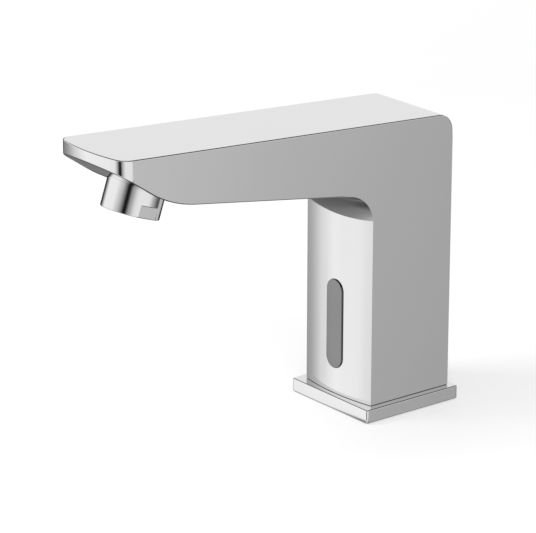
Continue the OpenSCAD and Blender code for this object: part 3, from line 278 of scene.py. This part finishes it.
for piece, obj in NODES.items():
    obj.data.materials.clear()
    obj.data.materials.append(MATERIALS[SLOT_OF[piece]])


# Rounded edges: copies of the chrome pieces and the window, whose sharp outer edges are broken as on the
# real ones. Radii and places are in mm, angles in degrees.
MM_PER_M = 1000
MERGE_DISTANCE = 2e-6  # metres
FLAT_ANGLE = 0.4  # faces that meet at less are one face
SHARP_ANGLE = 25  # edges at more are rounded
CREASE_ANGLE = 32  # edges still at more are shaded sharp
BEVEL_SEGMENTS = 3
ROUND_PROFILE = 0.5
NORMALS_WEIGHT = 90
SIDE_NORMAL = 0.9999  # the tap's flat sides face left or right at least this squarely

BODY_HALF_WIDTH = 21.5
SIDE_TOLERANCE = 0.02
NOSE_BACK_Y, NOSE_BOTTOM_Z = -139, 120
COLUMN_FRONT_Y, COLUMN_TOP_Z = -36, 101
PLATE_INSIDE = 24.1
PLATE_LOW_Z, PLATE_HIGH_Z = 0.1, 5.7
AERATOR_Y, AERATOR_Z = -127.32, 106.27
AERATOR_LEAN_COS, AERATOR_LEAN_SIN = 0.9451, 0.3269
AERATOR_INSIDE = 11.2
WINDOW_FACE_Y = -22.2


def body_edge(at):
    """The casting's outer edges round the spout's sides and its nose"""
    on_side = abs(abs(at.x) - BODY_HALF_WIDTH) < SIDE_TOLERANCE
    on_nose = at.y < NOSE_BACK_Y and at.z > NOSE_BOTTOM_Z
    on_column = at.y > COLUMN_FRONT_Y and at.z < COLUMN_TOP_Z
    return (on_side and not on_column) or on_nose


def plate_edge(at):
    """The plate's top and bottom edges, all the way round"""
    return max(abs(at.x), abs(at.y)) > PLATE_INSIDE and not PLATE_LOW_Z <= at.z <= PLATE_HIGH_Z


def lip_edge(at):
    """The aerator's outlet edge and the edges of its key flats"""
    forward = (at.y - AERATOR_Y) * AERATOR_LEAN_COS - (at.z - AERATOR_Z) * AERATOR_LEAN_SIN
    return math.hypot(at.x, forward) > AERATOR_INSIDE


def window_edge(at):
    """The window's front edge"""
    return at.y < WINDOW_FACE_Y


def meets_at(edge):
    """The angle between an edge's two faces, or 0 where it has other than two"""
    return math.degrees(edge.calc_face_angle(0)) if len(edge.link_faces) == 2 else 0


def is_outer(edge, wanted):
    """A sharp edge that points outwards and lies where it is wanted"""
    middle = (edge.verts[0].co + edge.verts[1].co) / 2
    return meets_at(edge) > SHARP_ANGLE and edge.calc_face_angle_signed(0) > 0 and wanted(middle * MM_PER_M)


def rounded_copy(node, radius, wanted):
    src = NODES[node]
    mesh = src.data.copy()
    mesh.name = node + "_rounded"
    obj = bpy.data.objects.new(node + "_rounded", mesh)
    bpy.context.scene.collection.objects.link(obj)
    bm = bmesh.new()
    bm.from_mesh(mesh)
    bmesh.ops.remove_doubles(bm, verts=bm.verts, dist=MERGE_DISTANCE)
    bmesh.ops.dissolve_limit(bm, angle_limit=math.radians(FLAT_ANGLE), verts=bm.verts, edges=bm.edges)
    bm.normal_update()
    bmesh.ops.bevel(bm, geom=[e for e in bm.edges if is_outer(e, wanted)], offset=radius / MM_PER_M,
                    offset_type="OFFSET", segments=BEVEL_SEGMENTS, profile=ROUND_PROFILE, affect="EDGES",
                    clamp_overlap=False, loop_slide=False)
    bmesh.ops.triangulate(bm, faces=[f for f in bm.faces if len(f.verts) > 4])
    for face in bm.faces:
        face.smooth = abs(face.normal.x) < SIDE_NORMAL
    for edge in bm.edges:
        edge.smooth = meets_at(edge) <= CREASE_ANGLE
    bm.to_mesh(mesh)
    bm.free()
    normals = obj.modifiers.new("normals", "WEIGHTED_NORMAL")
    normals.keep_sharp = True
    normals.weight = NORMALS_WEIGHT
    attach(obj, src["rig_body"])
    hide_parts(node)


rounded_copy("body_shell", 0.45, body_edge)
rounded_copy("base_plate", 0.4, plate_edge)
rounded_copy("aerator_shell", 0.3, lip_edge)
rounded_copy("sensor_lens", 0.2, window_edge)


# Springs: copies with meshes of their own, on the same bodies, in place of the originals
def squeezed_spring(node):
    src = NODES[node]
    obj = bpy.data.objects.new(node + "_squeezed", src.data.copy())
    bpy.context.scene.collection.objects.link(obj)
    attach(obj, src["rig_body"])
    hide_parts(node)
    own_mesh(obj)


squeezed_spring("armature_spring")
squeezed_spring("check_valve_spring")


# Studio: a white floor that keeps the shadow, a white world, two lamps, and a dome that only mirrors see:
# soft boxes and flags above, and below the horizon a stand-in floor with painted shadow of the tap. Lengths
# are in metres.
TAP_MIDDLE = (0, -0.06, 0.06)
FLOOR_HALF = 6
FLOOR_Z = -0.0004
FLOOR_GREY = 0.8
FLOOR_GLOW = (0.45, 0.8)
FLOOR_GLOW_REACH = (0.5, 2.5)
WORLD_GLOW = (0.45, 1.0)
DOME_R = 8.0
DOME_STEP = 5  # degrees
DOME_MIDDLE = (0, -0.06, 0.07)


def stage_mesh(name, verts, faces, material):
    mesh = bpy.data.meshes.new(name)
    mesh.from_pydata(verts, [], faces)
    mesh.materials.append(material)
    obj = bpy.data.objects.new(name, mesh)
    bpy.context.scene.collection.objects.link(obj)
    return obj


def floor_material():
    """A surface that keeps the shadow and grows whiter away from the tap"""
    m = Material("floor")
    diffuse = m.node("BsdfDiffuse", {"Color": (*grey(FLOOR_GREY), 1)})
    reach = m.node("VectorMath", {0: m.coords()}, operation="LENGTH").outputs["Value"]
    strength = m.math("MULTIPLY", m.looked_at(), m.spread(reach, *FLOOR_GLOW, at=FLOOR_GLOW_REACH))
    glow = m.node("Emission", {"Color": (1, 1, 1, 1), "Strength": strength})
    return m.surfaced(m.node("AddShader", {0: diffuse.outputs[0], 1: glow.outputs[0]}))


corners = [(x * FLOOR_HALF, y * FLOOR_HALF, FLOOR_Z) for x, y in ((-1, -1), (1, -1), (1, 1), (-1, 1))]
floor = stage_mesh("floor", corners, [(0, 1, 2, 3)], floor_material())
# mirrors see the dome's stand-in floor, with its painted shadow, instead of this one
floor.visible_glossy = False


# The dome's light: grey levels of the photograph at bearings. Bearings are degrees from the front, positive
# to the right, and heights are degrees above the horizon.
# Straight down: painted shadow of the tap on the floor
UNDER_TAP_SHADOW_TONES = [(-180, 45), (-100, 45), (0, 70), (100, 70), (180, 45)]
# Just below the horizon: the floor's tones, with painted shade at the darker bearings, where the tap's shadow
# lies
BELOW_TONES = [
    (-180, 150), (-160, 60), (-140, 70), (-130, 116), (-125, 118), (-120, 112), (-116, 88), (-106, 86),
    (-90, 90), (-72, 98), (-58, 116), (-45, 126), (-36, 145), (-25, 190), (0, 200), (70, 200), (95, 90),
    (135, 80), (145, 150), (152, 80), (164, 90), (172, 190), (180, 150)]
LEFT_TONES = [
    (-180, 60), (-150, 30), (-95, 30), (-84, 84), (-77, 138), (-72, 162), (-67, 191), (-62, 214), (-57, 227),
    (-52, 236), (-45, 233)]
RIGHT_TONES = [
    (-33, 232), (-26, 217), (-18, 203), (-8, 178), (1, 140), (9, 88), (14, 30), (21, 22), (26, 70), (34, 148),
    (43, 173), (51, 204), (59, 219), (68, 226), (100, 225), (110, 222), (118, 212), (122, 196), (125.5, 182),
    (131, 165), (136, 154), (146, 120), (154, 85), (163, 80), (180, 90)]
WHITE_TONES = [
    (-180, 222), (-105, 222), (-90, 175), (-75, 162), (-65, 194), (-57, 216), (-50, 227), (-42, 231),
    (100, 231), (112, 210), (120, 179), (140, 174), (155, 180), (172, 222)]
DARK_TONE = 45
OVERHEAD_TONE = 205

# Bearings that part the left tones from the right, and the far left, where white starts lower
LEFT_END = -38.0
FAR_LEFT_END = -123.0
# Heights over which one belt of the dome gives way to the next
DEEP_TO_BELOW = (-62.0, -50.0)
BELOW_TO_UPPER = (-22.6, -22.3)
FAR_LEFT_TO_WHITE = (-12.0, -8.0)
LEVEL_TO_WHITE = (13.5, 17.0)
WHITE_TO_DARK = (24.0, 30.0)
DARK_TO_OVERHEAD = (58.0, 80.0)
# The edges of soft boxes and flags lean: degrees of bearing for each degree above the height given
LEFT_LEAN, LEFT_LEAN_FROM = 0.5, -18.0
RIGHT_LEAN, RIGHT_LEAN_FROM = -0.385, -17.0
# The screen's curve from light to grey level, in its usual form
SCREEN_OFFSET, SCREEN_POWER = 0.055, 2.4


def photo_tone(level):
    """The light that chrome must mirror to show a grey level of the photograph"""
    light = ((level / 255 + SCREEN_OFFSET) / (1 + SCREEN_OFFSET)) ** SCREEN_POWER
    return light / (sum(CHROME_GREYS) / len(CHROME_GREYS))


def dome_material():
    """Light that depends on direction alone"""
    m = Material("reflection_dome")
    way = m.node("VectorMath", {0: m.coords()}, operation="NORMALIZE").outputs[0]
    axes = m.node("SeparateXYZ", {0: way}).outputs
    turn = m.math("ARCTAN2", axes["X"], m.math("MULTIPLY", axes["Y"], -1.0))
    bearing = m.math("MULTIPLY", turn, math.degrees(1))
    height = m.math("MULTIPLY", m.math("ARCSINE", axes["Z"]), math.degrees(1))

    def tones(angle, table):
        stops = [(0.5 + a / 360, grey(photo_tone(level))) for a, level in table]
        return m.ramp(m.spread(angle, 0, 1, at=(-180, 180)), stops)

    def even_tone(level):
        return (*grey(photo_tone(level)), 1)

    def above(heights):
        return m.spread(height, 0, 1, at=heights)

    def leaning(lean, start):
        return m.math("MULTIPLY_ADD", m.math("ADD", height, -start), lean, bearing)

    left = tones(leaning(LEFT_LEAN, LEFT_LEAN_FROM), LEFT_TONES)
    right = tones(leaning(RIGHT_LEAN, RIGHT_LEAN_FROM), RIGHT_TONES)
    level = m.blend(m.math("LESS_THAN", bearing, LEFT_END), right, left)
    # Below the horizon: the stand-in floor with the painted shadow of the tap
    below = m.blend(above(DEEP_TO_BELOW), tones(bearing, UNDER_TAP_SHADOW_TONES), tones(bearing, BELOW_TONES))
    sky = m.blend(above(WHITE_TO_DARK), tones(bearing, WHITE_TONES), even_tone(DARK_TONE))
    sky = m.blend(above(DARK_TO_OVERHEAD), sky, even_tone(OVERHEAD_TONE))
    near_side = m.blend(above(LEVEL_TO_WHITE), level, sky)
    is_far_left = m.math("LESS_THAN", bearing, FAR_LEFT_END)
    upper = m.blend(m.math("MULTIPLY", is_far_left, above(FAR_LEFT_TO_WHITE)), near_side, sky)
    whole = m.blend(above(BELOW_TO_UPPER), below, upper)
    return m.surfaced(m.node("Emission", {"Color": whole, "Strength": 1.0}))


def on_dome(height, bearing):
    h, b = math.radians(height), math.radians(bearing)
    return (DOME_R * math.cos(h) * math.sin(b), -DOME_R * math.cos(h) * math.cos(b), DOME_R * math.sin(h))


heights, bearings = range(-90, 91, DOME_STEP), range(0, 360, DOME_STEP)
n = len(bearings)
dome = stage_mesh("reflection_dome", [on_dome(h, b) for h in heights for b in bearings],
                  [(r * n + k, r * n + (k + 1) % n, (r + 1) * n + (k + 1) % n, (r + 1) * n + k)
                   for r in range(len(heights) - 1) for k in range(n)], dome_material())
dome.location = DOME_MIDDLE
for way_seen in ("camera", "diffuse", "transmission", "shadow", "volume_scatter"):
    setattr(dome, "visible_" + way_seen, False)

world = bpy.data.worlds.new("world")
bpy.context.scene.world = world
world.use_nodes = True
world_nodes = Nodes(world.node_tree)
background = world.node_tree.nodes["Background"]
background.inputs["Color"].default_value = (1, 1, 1, 1)
world_light = world_nodes.spread(world_nodes.looked_at(), *WORLD_GLOW, at=(0, 1))
world.node_tree.links.new(world_light, background.inputs["Strength"])


def lamp(name, watts, size, where):
    data = bpy.data.lights.new(name, "AREA")
    data.energy = watts
    data.size = size
    obj = bpy.data.objects.new(name, data)
    obj.location = where
    obj.rotation_euler = (Vector(where) - Vector(TAP_MIDDLE)).to_track_quat("Z", "Y").to_euler()
    obj.visible_glossy = False
    obj.visible_camera = False
    bpy.context.scene.collection.objects.link(obj)


lamp("key", watts=9, size=0.8, where=(-0.5, -1.0, 1.2))
lamp("fill", watts=5, size=1.0, where=(1.1, -0.5, 0.9))
